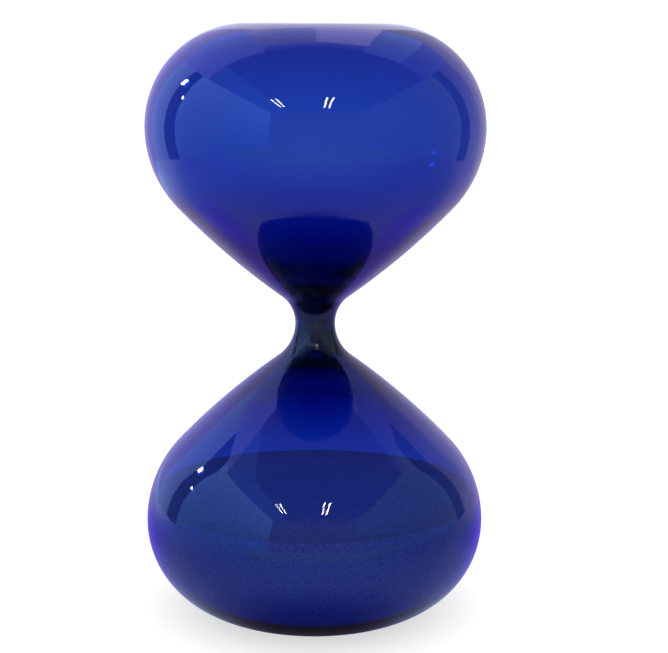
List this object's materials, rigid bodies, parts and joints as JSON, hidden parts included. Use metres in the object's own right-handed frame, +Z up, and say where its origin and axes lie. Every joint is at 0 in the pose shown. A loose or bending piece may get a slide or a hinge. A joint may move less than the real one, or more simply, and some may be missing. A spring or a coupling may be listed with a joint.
{
  "type": "hourglass",
  "caption": "Frameless blown-glass hourglass: cobalt-blue drop-shaped bulbs with flat ends, fused to a thick dark neck, with a level sand charge in the lower bulb.",
  "frame": {"origin": "centre of the flat end of the lower bulb, on the surface the timer stands on", "axes": "+Z up along the axis of revolution, through the neck's bore; X and Y are equivalent"},
  "size_m": [0.0956, 0.0956, 0.165],
  "materials": {
    "cobalt_glass": "gloss",
    "sand_grains": "matte"
  },
  "bodies": {
    "root": {"lower_bulb": "cobalt_glass", "neck": "cobalt_glass", "upper_bulb": "cobalt_glass", "sand": "sand_grains", "filling_seal": "cobalt_glass"}
  },
  "joints": []
}
